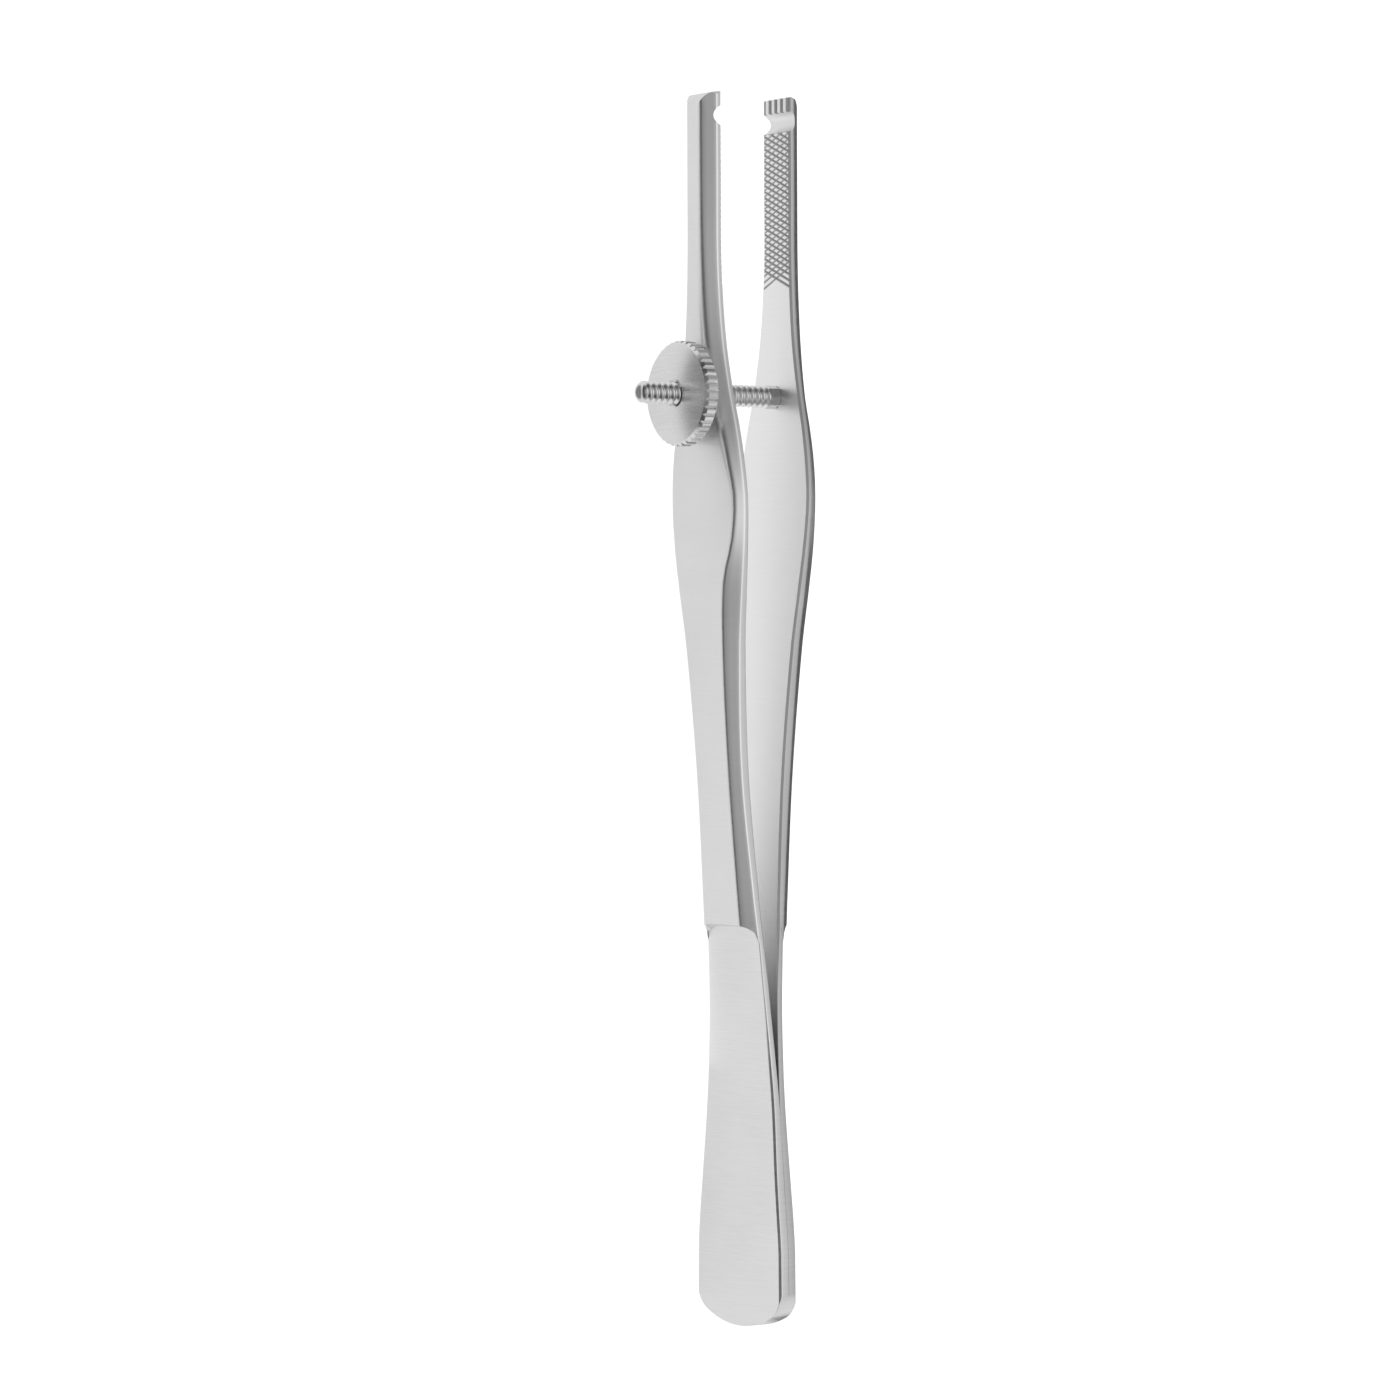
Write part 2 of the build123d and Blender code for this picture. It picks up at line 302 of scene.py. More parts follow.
bpy.ops.object.select_all(action="DESELECT")
bpy.ops.mesh.primitive_circle_add(vertices=CORNERS, radius=5 * MM, fill_type="NGON",
                                  location=rings[0][0], rotation=(0, math.pi / 2, 0))
bar = new_piece("front_arm_steel")
bpy.ops.object.transform_apply(location=True, rotation=True, scale=True)
centre = sum((v.co for v in bar.data.vertices), Vector()) / CORNERS
by_angle = sorted((math.atan2(v.co.z - centre.z, v.co.y - centre.y) % (2 * math.pi), v.index)
                  for v in bar.data.vertices)
order = [index for angle, index in by_angle]
if by_angle[-1][0] > ALMOST_A_TURN:
    order = order[-1:] + order[:-1]
started = [bar.data.vertices[index].co.copy() for index in order]
bpy.ops.object.mode_set(mode="EDIT")
move_corners(started, rings[0])
for behind, ahead in zip(rings, rings[1:]):
    step = Vector((ahead[INNER_MIDDLE].x - behind[INNER_MIDDLE].x, 0, 0))
    pick("faces", lambda f: lies_on(f, behind))
    bpy.ops.mesh.extrude_region_move(TRANSFORM_OT_translate={"value": step})
    move_corners([point + step for point in behind], ahead)
bpy.ops.object.mode_set(mode="OBJECT")
print("bar:", len(bar.data.vertices), "vertices,", len(bar.data.polygons), "faces")

# %% [markdown]
# ## The rounded tail
# On the real clamp the tail end is ground to an arc, with its two corners rounded off. Here the bar
# was drawn half a millimetre too long, and a cutter with the outline of the tail trims it, as a
# pastry cutter would. The flat faces near the end are merged first, so that the cut leaves no
# slivers in them.

# %% Trim the tail to its outline
TAIL_RADIUS, TAIL_CORNER, HALF_TAIL = 12.0, 3.0, 6.85
ARC_STEPS, CORNER_STEPS = 14, 9
TRIM_START, TRIM_END, TRIM_SIDE = -2.0, 6.0, 9.0
corner_across = HALF_TAIL - TAIL_CORNER
corner_along = TAIL_RADIUS - math.sqrt((TAIL_RADIUS - TAIL_CORNER) ** 2 - corner_across**2)
meets = math.asin(corner_across / (TAIL_RADIUS - TAIL_CORNER))
arc = [meets * k / ARC_STEPS for k in range(ARC_STEPS + 1)]
bend = [meets + (math.pi / 2 - meets) * k / CORNER_STEPS for k in range(1, CORNER_STEPS + 1)]
outline = [(TAIL_RADIUS * (1 - math.cos(a)), TAIL_RADIUS * math.sin(a)) for a in arc]
outline += [(corner_along - TAIL_CORNER * math.cos(a), corner_across + TAIL_CORNER * math.sin(a))
            for a in bend]
outline += [(TRIM_END, HALF_TAIL + 0.6), (TRIM_END, TRIM_SIDE), (TRIM_START, TRIM_SIDE)]
outline += [(along, -across) for along, across in reversed(outline[1:])]


def draw_line(name, points, location=(0, 0, 0), rotation=(0, 0, 0)):
    """A closed line of edges through the points: a circle whose vertices are moved to them."""
    bpy.ops.object.select_all(action="DESELECT")
    bpy.ops.mesh.primitive_circle_add(vertices=len(points), radius=1, fill_type="NOTHING",
                                      location=location, rotation=rotation)
    line = new_piece(name)
    bpy.ops.object.mode_set(mode="EDIT")
    turn = line.matrix_world.to_3x3()
    drawn = [v.co.copy() for v in bmesh.from_edit_mesh(line.data).verts]
    for start, goal in zip(drawn, points):
        pick("verts", lambda v: (v.co - start).length < 0.001)
        bpy.ops.transform.translate(value=turn @ (Vector(goal) - start))
    bpy.ops.mesh.select_all(action="SELECT")
    return line


FLAT_FROM, TRIM_HEIGHT, MERGED_TO = -3, 8, 8
trimmer = draw_line("trimmer", [place(along, FLAT_FROM, across) for along, across in outline])
bpy.ops.mesh.edge_face_add()
bpy.ops.mesh.extrude_region_move(TRANSFORM_OT_translate={"value": (0, TRIM_HEIGHT * MM, 0)})
bpy.ops.mesh.select_all(action="SELECT")
bpy.ops.mesh.normals_make_consistent(inside=False)
bpy.ops.object.mode_set(mode="OBJECT")
take(bar)
bpy.ops.object.mode_set(mode="EDIT")
merged_to = place(MERGED_TO, 0, 0).x
pick("faces", lambda f: abs(f.normal.y) > 0.9 and f.calc_center_median().x < merged_to)
bpy.ops.mesh.dissolve_limited(angle_limit=math.radians(0.5))
bpy.ops.object.mode_set(mode="OBJECT")
cut(bar, trimmer)
print("trimmed bar:", len(bar.data.vertices), "vertices")

# %% [markdown]
# ## Softened edges
# No forged and polished instrument has a knife edge. The tumbled edges of the handle are rounded to
# about a tenth of a millimetre, those of the welded tail to half of that, and the ridge beside the
# outer face is softer, most of all where the belly runs into the jaw. Each edge gets a bevel
# weight, which here is its rounding in millimetres, and one Bevel modifier rounds them all. The
# narrow inner rims stay flat chamfers, because a rounding there would tilt the shading of the wide
# inner faces.

# %% Find the ridges
RIDGE_ANGLE, MOSTLY = math.radians(25), 0.7
END_ZONE, LEAF_ZONE = 6, 26


def edge_along(edge):
    """How far along the middle of an edge lies, in millimetres."""
    return ((edge.verts[0].co.x + edge.verts[1].co.x) / 2 - tail_x) / MM


def is_ridge(edge):
    """An edge where two faces meet at an angle and that runs along the arm or round the tail."""
    runs = edge.verts[1].co - edge.verts[0].co
    return len(edge.link_faces) == 2 and edge.calc_face_angle() > RIDGE_ANGLE and (
        abs(runs.x) > MOSTLY * runs.length or edge_along(edge) < END_ZONE)


def is_outer_ridge(edge):
    """A ridge of the handle beside the outer face, where the bevel begins."""
    slopes = sorted(face.normal.y for face in edge.link_faces)
    return is_ridge(edge) and edge_along(edge) > STEP and slopes[-1] > 0.9 and slopes[0] > 0.2


def is_inner_rim(edge):
    """A ridge of the narrow chamfer beside the inner face."""
    return is_ridge(edge) and min(face.normal.y for face in edge.link_faces) < -0.5


def is_leaf_edge(edge):
    """An outer ridge of the welded part of the leaf, between the tail and where the leaves part."""
    return is_ridge(edge) and edge_along(edge) < LEAF_ZONE and not is_inner_rim(edge)


def is_handle_edge(edge):
    """Any other ridge."""
    return is_ridge(edge) and not (is_outer_ridge(edge) or is_leaf_edge(edge)
                                   or is_inner_rim(edge))


take(bar)
bpy.ops.object.mode_set(mode="EDIT")
bpy.ops.mesh.select_mode(type="EDGE")
print("ridge edges:", pick("edges", is_ridge))

# %% Weigh the ridges and bevel them
HANDLE_EDGE, LEAF_EDGE = 0.11, 0.05
OUTER_RIDGE = ((STEP, 76, 0.26), (76, 82, 0.34), (82, 86, 0.46), (86, 90, 0.6), (90, 98, 0.66),
               (98, 104, 0.5), (104, 121, 0.34))
counts = [pick("edges", is_handle_edge)]
bpy.ops.transform.edge_bevelweight(value=HANDLE_EDGE)
counts.append(pick("edges", is_leaf_edge))
bpy.ops.transform.edge_bevelweight(value=LEAF_EDGE)
for low, high, size in OUTER_RIDGE:
    counts.append(pick("edges", lambda e: is_outer_ridge(e) and low < edge_along(e) <= high))
    bpy.ops.transform.edge_bevelweight(value=size)
print("rounded edges:", counts)
bpy.ops.mesh.select_mode(type="VERT")
bpy.ops.object.mode_set(mode="OBJECT")
rounding = bar.modifiers.new("rounding", "BEVEL")
rounding.limit_method = "WEIGHT"
rounding.width = 1.0 * MM
rounding.segments = 4
rounding.use_clamp_overlap = False
rounding.miter_outer = "MITER_ARC"
bpy.ops.object.modifier_apply(modifier=rounding.name)
settle(bar)
print("rounded bar:", len(bar.data.vertices), "vertices")

# %% [markdown]
# ## The tip
# The jaw's tip is rounded over towards its outer face, like the toe of a shoe, and its two outer
# corners are rounded as well. Cutters with a hollow corner shave it, because the soft ridges that
# meet there leave no clean edge for a bevel to follow. The corner cutters lean, so they take most
# at the outer face and next to nothing at the inner one, where the tip stays square.

# %% Round the tip
JAW_GAP, JAW_THICK, TIP_RADIUS = 4.08, 1.92, 1.5
CORNER_RADIUS, CORNER_LEAN, JAW_SIDE = 1.6, 0.5, section(ARM, LENGTH)[1] / 2
CUT_SIDE, OVERSHOOT = 4, 1.2
jaw_outer = JAW_GAP + JAW_THICK


def open_edges(piece):
    """Counts the edges that don't have just two faces, which a closed mesh has none of."""
    mesh = bmesh.new()
    mesh.from_mesh(piece.data)
    count = sum(len(edge.link_faces) != 2 for edge in mesh.edges)
    mesh.free()
    return count


def prism(name, spots, sweep):
    """A bar swept along a vector, in millimetres, from a closed outline of spots."""
    made = draw_line(name, spots)
    bpy.ops.mesh.edge_face_add()
    bpy.ops.mesh.extrude_region_move(TRANSFORM_OT_translate={"value": Vector(sweep) * MM})
    bpy.ops.object.mode_set(mode="OBJECT")
    settle(made)
    return made


def quarter(first, second, radius, degrees):
    """Points on a quarter circle round a centre, from the second axis to the first."""
    angles = [math.radians(a) for a in range(0, 91, degrees)]
    return [(first + radius * math.sin(a), second + radius * math.cos(a)) for a in angles]


shave = quarter(LENGTH - TIP_RADIUS, jaw_outer - TIP_RADIUS, TIP_RADIUS, 10)
shave += [(LENGTH + 1, jaw_outer - TIP_RADIUS), (LENGTH + 1, jaw_outer + 1),
          (LENGTH - TIP_RADIUS, jaw_outer + 1)]
cut(bar, prism("shave", [place(along, out, -CUT_SIDE) for along, out in shave],
               (0, 0, 2 * CUT_SIDE)))
corner = quarter(LENGTH - CORNER_RADIUS, JAW_SIDE - CORNER_RADIUS, CORNER_RADIUS, 15)
corner += [(LENGTH + 1, JAW_SIDE - CORNER_RADIUS), (LENGTH + 1, JAW_SIDE + 1),
           (LENGTH - CORNER_RADIUS, JAW_SIDE + 1)]
for side in (-1, 1):
    spots = [place(along + CORNER_LEAN, JAW_GAP, side * (across + CORNER_LEAN))
             for along, across in corner]
    cut(bar, prism("corner", spots, (-CORNER_LEAN * OVERSHOOT, JAW_THICK * OVERSHOOT,
                                     -side * CORNER_LEAN * OVERSHOOT)))
settle(bar)
print("shaved bar:", len(bar.data.vertices), "vertices,", open_edges(bar), "open edges")

# %% [markdown]
# ## Tooling the jaw
# Three kinds of cut make the jaw. Two families of fine V grooves cross on its inner face and leave
# rows of diamond teeth that hold a slippery bone. In front of them a round cutter leaves a
# half-round groove across the jaw, and five larger V grooves run along the tooth at the very tip.
# Each family is one V-shaped bar, copied along the jaw by an Array modifier and cut away in one
# go. One family is a little shallower, so that no two grooves meet in exactly the same depth, which
# keeps the cut clean.

# %% Cutters for the jaw
TOOTH_LENGTH, GROOVE_RADIUS, GROOVE_LIFT = 1.35, 1.0, 0.15
TOOTH_PITCH, TOOTH_WIDTH, TOOTH_DEPTH, TOOTH_CUTS = 0.93, 0.5, 0.32, 5
TEETH_FROM, TEETH_PITCH, TEETH_CUTS, TEETH_SLANT = 102.4, 0.6, 26, math.radians(24)
FAMILIES = ((TEETH_SLANT, 0.15, 0.24), (-TEETH_SLANT, 0.11, 0.18))
CUTTER_LENGTH, SPARE, TOOTH_AT, TOOTH_CUTTER = 9, 1.3, 1.6, 2.6
groove_along = LENGTH - TOOTH_LENGTH - GROOVE_RADIUS


def round_cutter(radius, length, centre, rotation, vertices=64):
    """A round bar for cutting, with its middle at the given place."""
    bpy.ops.object.select_all(action="DESELECT")
    bpy.ops.mesh.primitive_cylinder_add(vertices=vertices, radius=radius * MM, depth=length * MM,
                                        location=centre, rotation=rotation)
    cutter = new_piece("cutter")
    bpy.ops.object.transform_apply(location=True, rotation=True, scale=True)
    return cutter


def vee_cutter(width, depth, length, centre, slant):
    """A V-shaped bar across the jaw, with its edge pointing outwards into the steel. It is made
    larger than the groove, so that its flat back stands clear of the face."""
    bpy.ops.object.select_all(action="DESELECT")
    bpy.ops.mesh.primitive_cylinder_add(vertices=3, radius=1, depth=length * MM)
    cutter = new_piece("cutter")
    across = max(v.co.x for v in cutter.data.vertices) - min(v.co.x for v in cutter.data.vertices)
    high = max(v.co.y for v in cutter.data.vertices) - min(v.co.y for v in cutter.data.vertices)
    bpy.ops.transform.resize(value=(SPARE * width * MM / across, SPARE * depth * MM / high, 1))
    bpy.ops.object.transform_apply(location=True, rotation=True, scale=True)
    top = max(v.co.y for v in cutter.data.vertices)
    bpy.ops.transform.translate(value=(0, depth * MM - top, 0))
    bpy.ops.object.transform_apply(location=True, rotation=True, scale=True)
    bpy.ops.transform.rotate(value=slant, orient_axis="Y", center_override=(0, 0, 0))
    bpy.ops.transform.translate(value=centre)
    bpy.ops.object.transform_apply(location=True, rotation=True, scale=True)
    return cutter


def repeat(cutter, count, step):
    """Copies a cutter in a row by an Array modifier."""
    array = cutter.modifiers.new("row", "ARRAY")
    array.count = count
    array.use_relative_offset = False
    array.use_constant_offset = True
    array.constant_offset_displace = step
    take(cutter)
    bpy.ops.object.modifier_apply(modifier=array.name)


print("half-round groove at", round(groove_along, 2), "mm along")

# %% Cut the grooves of the jaw
for slant, depth, width in FAMILIES:
    row = vee_cutter(width, depth, CUTTER_LENGTH, place(TEETH_FROM, JAW_GAP, 0), slant)
    repeat(row, TEETH_CUTS, (TEETH_PITCH * MM, 0, 0))
    cut(bar, row)
    settle(bar)
    print("after a family of grooves:", open_edges(bar), "open edges")
groove_centre = place(groove_along, JAW_GAP - GROOVE_LIFT, 0)
cut(bar, round_cutter(GROOVE_RADIUS, CUTTER_LENGTH, groove_centre, (0, 0, 0)))
settle(bar)
print("after the round groove:", open_edges(bar), "open edges")
first_cut = place(groove_along + TOOTH_AT, JAW_GAP, -2 * TOOTH_PITCH)
tooth_row = vee_cutter(TOOTH_WIDTH, TOOTH_DEPTH, TOOTH_CUTTER, first_cut, math.pi / 2)
repeat(tooth_row, TOOTH_CUTS, (0, 0, TOOTH_PITCH * MM))
cut(bar, tooth_row)
settle(bar)
print("tooled bar:", len(bar.data.vertices), "vertices,", open_edges(bar), "open edges")

# %% [markdown]
# ## The second arm
# Both arms come from the same forging die, turned over for the far side. So the finished bar is
# copied, with its own mesh, and mirrored through the middle plane. A mirrored mesh is inside out,
# and settling it turns its faces outwards again. Then each arm is drilled for the screw, with a
# wide hole on the nut's side, where the arm has to tilt, and a tight one on the far side, where the
# screw is fixed.

# %% Mirror the bar and drill both arms
NEAR_HOLE, FAR_HOLE = 1.5, 1.1
DRILL_MIDDLE, DRILL_LENGTH = 4.8, 6
SMOOTH_BELOW = math.radians(28)
take(bar)
bpy.ops.object.duplicate()
back = new_piece("back_arm_steel")
bpy.ops.object.mode_set(mode="EDIT")
bpy.ops.mesh.select_all(action="SELECT")
bpy.ops.transform.resize(value=(1, -1, 1), center_override=(0, middle_y, 0))
bpy.ops.object.mode_set(mode="OBJECT")
settle(back)
for arm, side, radius in ((bar, 1, NEAR_HOLE), (back, -1, FAR_HOLE)):
    drill_at = place(screw_along, side * DRILL_MIDDLE, 0)
    cut(arm, round_cutter(radius, DRILL_LENGTH, drill_at, (math.pi / 2, 0, 0)))
    settle(arm)
    bpy.ops.object.shade_smooth_by_angle(angle=SMOOTH_BELOW)
    print(arm.name, [round(v / MM, 2) for v in arm.dimensions], len(arm.data.vertices), "vertices")

# %% [markdown]
# ## A real thread
# A screw thread is one small profile carried round the axis while it climbs one pitch each turn.
# The Screw modifier does just that. The profile has rounded crests and roots, because a rolled
# thread has them and they catch the light as thin bright lines. It is drawn as a closed line, so
# its long closing edge is deleted. The coil is made one turn too long at both ends and then cut
# flat by bisecting, which also closes it.

# %% Coil the thread
PITCH, CREST, ROOT, COIL_STEPS = 0.68, 1.1, 0.84, 48
THREAD_SHAPE = ((0.0, 0.0), (0.05, 0.04), (0.1, 0.19), (0.24, 0.84), (0.29, 0.96), (0.34, 1.0),
                (0.39, 0.96), (0.44, 0.84), (0.58, 0.19), (0.63, 0.04), (0.68, 0.0))
INNER_FACE, SHOULDER_LENGTH, SUNK = 3.856, 1.3, 0.15
FREE_END = 12.646
ON_SCREW = (-math.pi / 2, 0, 0)
thread_start = SHOULDER_LENGTH - INNER_FACE - SUNK
turns = math.ceil((FREE_END - thread_start) / PITCH) + 2
points = [((ROOT + high * (CREST - ROOT)) * MM, 0, climb * MM) for climb, high in THREAD_SHAPE]
screw = draw_line("threaded_screw", points, place(screw_along, thread_start - PITCH, 0), ON_SCREW)
bpy.ops.mesh.select_mode(type="EDGE")
pick("edges", lambda e: abs(e.verts[0].co.z - e.verts[1].co.z) > 0.9 * PITCH * MM)
bpy.ops.mesh.delete(type="EDGE")
bpy.ops.mesh.select_mode(type="VERT")
bpy.ops.object.mode_set(mode="OBJECT")
coil = screw.modifiers.new("coil", "SCREW")
coil.screw_offset = PITCH * MM
coil.iterations = turns
coil.steps = coil.render_steps = COIL_STEPS
bpy.ops.object.modifier_apply(modifier=coil.name)
settle(screw)
bpy.ops.object.mode_set(mode="EDIT")
for out, keeps in ((thread_start, 1), (FREE_END + 0.1, -1)):
    bpy.ops.mesh.select_all(action="SELECT")
    bpy.ops.mesh.bisect(plane_co=place(screw_along, out, 0), plane_no=(0, -keeps, 0),
                        use_fill=True, clear_outer=True)
bpy.ops.object.mode_set(mode="OBJECT")
settle(screw)
print("thread:", turns, "turns,", len(screw.data.vertices), "vertices")

# %% [markdown]
# ## The rest of the screw
# The free end is turned to a round nose, so that it doesn't scratch. At the other end a shoulder
# stands against the inside of the far arm, with eight narrow flats, and a plain pin fills the arm's
# hole. Each is a profile that is drawn beside the axis and spun once round it, the nose in many
# steps and the shoulder in eight. The nose shape trims the thread, and the shoulder is joined to
# it.

# %% Round the nose and add the shoulder
def spin_solid(name, profile, steps=96):
    """A turned solid round the screw's axis from (radius, out) points in millimetres."""
    line = draw_line(name, [(radius * MM, 0, out * MM) for radius, out in profile],
                     place(screw_along, 0, 0), ON_SCREW)
    bpy.ops.mesh.spin(steps=steps, angle=2 * math.pi, center=place(screw_along, 0, 0),
                      axis=(0, 1, 0))
    bpy.ops.object.mode_set(mode="OBJECT")
    settle(line)
    return line


TRIM_RADIUS, END_ROUNDING, SCREW_SMOOTH = 1.3, 0.85, math.radians(38)
nose = [(0, thread_start - 1), (TRIM_RADIUS, thread_start - 1),
        (TRIM_RADIUS, FREE_END - END_ROUNDING - 0.2), (CREST, FREE_END - END_ROUNDING)]
rounded = quarter(FREE_END - END_ROUNDING, CREST - END_ROUNDING, END_ROUNDING, 15)
nose += [(radius, out) for out, radius in rounded[1:]] + [(0, FREE_END)]
cut(screw, spin_solid("nose", nose), "INTERSECT")
FOOT, PIN_RADIUS, SHOULDER_RADIUS, CHAMFER, FACETS = -5.735, 1.08, 1.15, 0.12, 8
shoulder_end = SHOULDER_LENGTH - INNER_FACE
shoulder = [(0, FOOT), (PIN_RADIUS, FOOT), (PIN_RADIUS, -INNER_FACE),
            (SHOULDER_RADIUS, -INNER_FACE), (SHOULDER_RADIUS, shoulder_end - CHAMFER),
            (SHOULDER_RADIUS - CHAMFER, shoulder_end), (0.4, shoulder_end), (0, shoulder_end)]
cut(screw, spin_solid("shoulder", shoulder, FACETS), "UNION")
settle(screw)
bpy.ops.object.shade_smooth_by_angle(angle=SCREW_SMOOTH)
print("screw:", [round(v / MM, 2) for v in screw.dimensions], len(screw.data.vertices), "vertices")

# %% [markdown]
# ## The wheel nut
# The nut is a thin turned wheel with forty notches cut in its rim, so that a finger can roll it.
# The rim starts as a cylinder of 160 sides. Every fourth line of vertices is pulled inwards, which
# leaves a notch as wide as the land beside it, and a small bevel wears the corners. A turned
# profile, with chamfered rims, a slightly domed face and the bore, then trims the wheel, as the
# lathe tool runs over the knurl.

# %% Notch the rim and turn the faces
NUT_RADIUS, NUT_CHAMFER, NOTCH_DEPTH, NOTCHES = 5.1, 0.3, 0.26, 40
NUT_THICK, NUT_DOME, BORE, BORE_CHAMFER = 1.6, 0.22, 1.14, 0.25
NUT_WEAR, DOME_STEPS, SPARE_RIM, BLANK = 0.03, 6, 0.5, 3
RIM_SIDES = 4 * NOTCHES
nut_foot = (nut_low[1] - middle_y) / MM
nut_centre = place(screw_along, nut_foot + NUT_THICK / 2, 0)
bpy.ops.object.select_all(action="DESELECT")
bpy.ops.mesh.primitive_cylinder_add(vertices=RIM_SIDES, radius=NUT_RADIUS * MM, depth=BLANK * MM,
                                    location=nut_centre, rotation=ON_SCREW)
nut = new_piece("knurled_nut")
bpy.ops.object.transform_apply(location=True, rotation=True, scale=True)
bpy.ops.object.mode_set(mode="EDIT")


def turn_of(vertex):
    """Where a rim vertex stands round the axis, counted in sides of the rim."""
    angle = math.atan2(vertex.co.z - nut_centre.z, vertex.co.x - nut_centre.x)
    return round(angle / (2 * math.pi) * RIM_SIDES)


pulled = pick("verts", lambda v: turn_of(v) % 4 == 0)
inwards = 1 - NOTCH_DEPTH / NUT_RADIUS
bpy.ops.transform.resize(value=(inwards, 1, inwards), center_override=nut_centre)
bpy.ops.object.mode_set(mode="OBJECT")
worn = nut.modifiers.new("worn edges", "BEVEL")
worn.limit_method = "ANGLE"
worn.angle_limit = math.radians(30)
worn.width = NUT_WEAR * MM
worn.segments = 2
bpy.ops.object.modifier_apply(modifier=worn.name)
face_edge = NUT_RADIUS - NUT_CHAMFER
dome_radius = (face_edge**2 + NUT_DOME**2) / (2 * NUT_DOME)


def dome(radius):
    """How far out the domed face stands at a distance from the axis."""
    return nut_foot + NUT_THICK + NUT_DOME - dome_radius + math.sqrt(dome_radius**2 - radius**2)


mouth = BORE + BORE_CHAMFER
wheel = [(BORE, nut_foot), (face_edge, nut_foot),
         (face_edge + SPARE_RIM, nut_foot + SPARE_RIM),
         (face_edge + SPARE_RIM, nut_foot + NUT_THICK - SPARE_RIM)]
across_face = [face_edge + (mouth - face_edge) * k / DOME_STEPS for k in range(DOME_STEPS + 1)]
wheel += [(radius, dome(radius)) for radius in across_face]
wheel += [(BORE, dome(mouth) - BORE_CHAMFER)]
cut(nut, spin_solid("wheel", wheel, RIM_SIDES), "INTERSECT")
settle(nut)
bpy.ops.object.shade_smooth_by_angle(angle=SMOOTH_BELOW)
print("nut:", pulled // 2, "notches,", [round(v / MM, 2) for v in nut.dimensions])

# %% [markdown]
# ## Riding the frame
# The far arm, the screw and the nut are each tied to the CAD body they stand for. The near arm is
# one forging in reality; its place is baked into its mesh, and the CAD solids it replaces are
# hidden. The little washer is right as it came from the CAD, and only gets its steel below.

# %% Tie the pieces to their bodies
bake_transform(bar)
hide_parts("front_arm", "front_leaf")
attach(back, "back_arm")
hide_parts("back_arm")
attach(screw, "back_arm")
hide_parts("clamp_screw")
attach(nut, "wheel_nut")
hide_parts("wheel_nut")
print("pieces tied:", [piece.name for piece in (bar, back, screw, nut)])

# %% [markdown]
# ## Helpers for materials
# Colours are written as sRGB hex values, as a colour picker shows them, and turned to the linear
# values that shaders work in. One small function adds a node with its options and its links.

# %% Colours and nodes
def linear(hex_colour):
    """An sRGB hex colour as linear red, green, blue and alpha."""
    shares = [int(hex_colour[i:i + 2], 16) / 255 for i in (1, 3, 5)]
    return [v / 12.92 if v <= 0.04045 else ((v + 0.055) / 1.055) ** 2.4 for v in shares] + [1.0]


def add(tree, kind, options=None, inputs=None):
    """Adds a node, sets its options, and sets or links its inputs."""
    node = tree.nodes.new(kind)
    for option, value in (options or {}).items():
        setattr(node, option, value)
    for socket, value in (inputs or {}).items():
        if isinstance(value, bpy.types.NodeSocket):
            tree.links.new(value, node.inputs[socket])
        else:
            node.inputs[socket].default_value = value
    return node


print("a light steel in linear light:", [round(v, 3) for v in linear("#E6E6E6")])

# %% [markdown]
# ## Brushed stainless steel
# The arms are martensitic stainless steel, ground and then brushed to a satin finish so that they
# don't dazzle under a theatre lamp. Satin means many fine scratches. They blur what the metal
# mirrors, and leave hair-thin light and dark lines. Here they are a noise that is stretched along
# the brushing. Real ones are about 0.02 mm apart, and these are 0.12 mm, so that they still show in
# the picture. Softer patches of about 6 mm vary the tone, as hand finishing does. Steel has no
# colour of its own beyond its grey, so the base colour and the roughness do the work, and the
# index of refraction stays at its default.

# %% A maker of steels
SCRATCH, PATCH, FADES_OVER = 0.3, 6, 3


